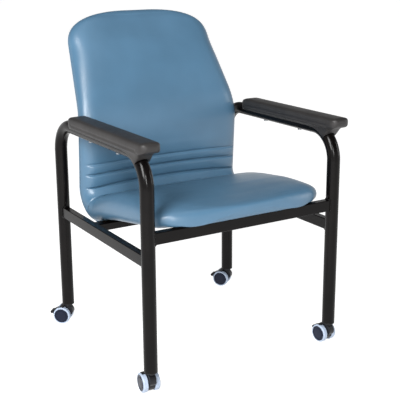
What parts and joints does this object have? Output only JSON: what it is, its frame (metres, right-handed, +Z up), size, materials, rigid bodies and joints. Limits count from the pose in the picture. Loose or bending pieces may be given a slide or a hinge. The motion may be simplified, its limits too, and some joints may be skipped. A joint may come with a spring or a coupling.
{
  "type": "patient chair",
  "caption": "Padded patient chair with a one-piece seat and back shell, tube side frames with arm pads, and braked twin-wheel castors.",
  "frame": {"origin": "on the floor, midway between the four legs", "axes": "+Z up, -Y towards the way the sitter faces, +X towards the right-hand side seen from the front"},
  "size_m": [0.6348, 0.6351, 0.8992],
  "materials": {
    "black_powder_coat": "gloss black powder coat on steel tube",
    "zinc_steel": "zinc plated steel",
    "birch_plywood": "moulded birch plywood",
    "blue_vinyl_foam": "light steel-blue vinyl, semi-gloss, over foam",
    "blue_vinyl_panel": "the same vinyl over a thin backing panel",
    "black_lining": "woven black dust cover, matt",
    "black_arm_pad": "black self-skinned polyurethane, satin",
    "black_castor_plastic": "black nylon, satin",
    "navy_hub": "dark navy nylon, semi-gloss",
    "grey_tread": "light grey-blue soft tread"
  },
  "bodies": {
    "frame": {"side_frame_left": "black_powder_coat", "side_frame_right": "black_powder_coat", "side_rail_left": "black_powder_coat", "side_rail_right": "black_powder_coat", "front_rail": "black_powder_coat", "rear_rail": "black_powder_coat", "shell_tabs": "black_powder_coat", "shell_bolts": "zinc_steel", "tee_nuts": "zinc_steel", "shell_board": "birch_plywood", "seat_cushion": "blue_vinyl_foam", "back_cushion": "blue_vinyl_foam", "back_panel": "blue_vinyl_panel", "seat_lining": "black_lining", "arm_pad_left": "black_arm_pad", "arm_pad_right": "black_arm_pad", "arm_plate_left": "zinc_steel", "arm_plate_right": "zinc_steel", "arm_screws": "zinc_steel", "front_left_leg_socket": "black_castor_plastic", "front_right_leg_socket": "black_castor_plastic", "rear_left_leg_socket": "black_castor_plastic", "rear_right_leg_socket": "black_castor_plastic", "front_left_castor_stem": "zinc_steel", "front_right_castor_stem": "zinc_steel", "rear_left_castor_stem": "zinc_steel", "rear_right_castor_stem": "zinc_steel"},
    "front_left_castor": {"front_left_castor_hood": "black_castor_plastic", "front_left_castor_axle": "zinc_steel", "front_left_castor_lever_pin": "zinc_steel"},
    "front_left_wheel_left": {"front_left_castor_wheel_left": "navy_hub", "front_left_castor_tread_left": "grey_tread"},
    "front_left_wheel_right": {"front_left_castor_wheel_right": "navy_hub", "front_left_castor_tread_right": "grey_tread"},
    "front_left_brake": {"front_left_castor_brake_lever": "black_castor_plastic"},
    "front_right_castor": {"front_right_castor_hood": "black_castor_plastic", "front_right_castor_axle": "zinc_steel", "front_right_castor_lever_pin": "zinc_steel"},
    "front_right_wheel_left": {"front_right_castor_wheel_left": "navy_hub", "front_right_castor_tread_left": "grey_tread"},
    "front_right_wheel_right": {"front_right_castor_wheel_right": "navy_hub", "front_right_castor_tread_right": "grey_tread"},
    "front_right_brake": {"front_right_castor_brake_lever": "black_castor_plastic"},
    "rear_left_castor": {"rear_left_castor_hood": "black_castor_plastic", "rear_left_castor_axle": "zinc_steel", "rear_left_castor_lever_pin": "zinc_steel"},
    "rear_left_wheel_left": {"rear_left_castor_wheel_left": "navy_hub", "rear_left_castor_tread_left": "grey_tread"},
    "rear_left_wheel_right": {"rear_left_castor_wheel_right": "navy_hub", "rear_left_castor_tread_right": "grey_tread"},
    "rear_left_brake": {"rear_left_castor_brake_lever": "black_castor_plastic"},
    "rear_right_castor": {"rear_right_castor_hood": "black_castor_plastic", "rear_right_castor_axle": "zinc_steel", "rear_right_castor_lever_pin": "zinc_steel"},
    "rear_right_wheel_left": {"rear_right_castor_wheel_left": "navy_hub", "rear_right_castor_tread_left": "grey_tread"},
    "rear_right_wheel_right": {"rear_right_castor_wheel_right": "navy_hub", "rear_right_castor_tread_right": "grey_tread"},
    "rear_right_brake": {"rear_right_castor_brake_lever": "black_castor_plastic"}
  },
  "joints": [
    {"name": "front_left_swivel", "type": "hinge", "parent": "frame", "child": "front_left_castor", "pos_m": [-0.28, -0.257, 0.045], "axis": [0, 0, 1], "continuous": true},
    {"name": "front_left_wheel_left_spin", "type": "hinge", "parent": "front_left_castor", "child": "front_left_wheel_left", "pos_m": [-0.27833, -0.24109, 0.025], "axis": [0.9945, -0.1045, 0], "continuous": true},
    {"name": "front_left_wheel_right_spin", "type": "hinge", "parent": "front_left_castor", "child": "front_left_wheel_right", "pos_m": [-0.27833, -0.24109, 0.025], "axis": [0.9945, -0.1045, 0], "continuous": true},
    {"name": "front_left_brake_press", "type": "hinge", "parent": "front_left_castor", "child": "front_left_brake", "pos_m": [-0.27728, -0.23114, 0.038], "axis": [0.9945, -0.1045, 0], "range_deg": [-18, 0]},
    {"name": "front_right_swivel", "type": "hinge", "parent": "frame", "child": "front_right_castor", "pos_m": [0.28, -0.257, 0.045], "axis": [0, 0, 1], "continuous": true},
    {"name": "front_right_wheel_left_spin", "type": "hinge", "parent": "front_right_castor", "child": "front_right_wheel_left", "pos_m": [0.27833, -0.24109, 0.025], "axis": [0.9945, 0.1045, 0], "continuous": true},
    {"name": "front_right_wheel_right_spin", "type": "hinge", "parent": "front_right_castor", "child": "front_right_wheel_right", "pos_m": [0.27833, -0.24109, 0.025], "axis": [0.9945, 0.1045, 0], "continuous": true},
    {"name": "front_right_brake_press", "type": "hinge", "parent": "front_right_castor", "child": "front_right_brake", "pos_m": [0.27728, -0.23114, 0.038], "axis": [0.9945, 0.1045, 0], "range_deg": [-18, 0]},
    {"name": "rear_left_swivel", "type": "hinge", "parent": "frame", "child": "rear_left_castor", "pos_m": [-0.28, 0.257, 0.045], "axis": [0, 0, 1], "continuous": true},
    {"name": "rear_left_wheel_left_spin", "type": "hinge", "parent": "rear_left_castor", "child": "rear_left_wheel_left", "pos_m": [-0.29207, 0.2675, 0.025], "axis": [0.6561, 0.7547, 0], "continuous": true},
    {"name": "rear_left_wheel_right_spin", "type": "hinge", "parent": "rear_left_castor", "child": "rear_left_wheel_right", "pos_m": [-0.29207, 0.2675, 0.025], "axis": [0.6561, 0.7547, 0], "continuous": true},
    {"name": "rear_left_brake_press", "type": "hinge", "parent": "rear_left_castor", "child": "rear_left_brake", "pos_m": [-0.29962, 0.27406, 0.038], "axis": [0.6561, 0.7547, 0], "range_deg": [-18, 0]},
    {"name": "rear_right_swivel", "type": "hinge", "parent": "frame", "child": "rear_right_castor", "pos_m": [0.28, 0.257, 0.045], "axis": [0, 0, 1], "continuous": true},
    {"name": "rear_right_wheel_left_spin", "type": "hinge", "parent": "rear_right_castor", "child": "rear_right_wheel_left", "pos_m": [0.27015, 0.26961, 0.025], "axis": [0.788, 0.6157, 0], "continuous": true},
    {"name": "rear_right_wheel_right_spin", "type": "hinge", "parent": "rear_right_castor", "child": "rear_right_wheel_right", "pos_m": [0.27015, 0.26961, 0.025], "axis": [0.788, 0.6157, 0], "continuous": true},
    {"name": "rear_right_brake_press", "type": "hinge", "parent": "rear_right_castor", "child": "rear_right_brake", "pos_m": [0.26399, 0.27749, 0.038], "axis": [0.788, 0.6157, 0], "range_deg": [-18, 0]}
  ]
}
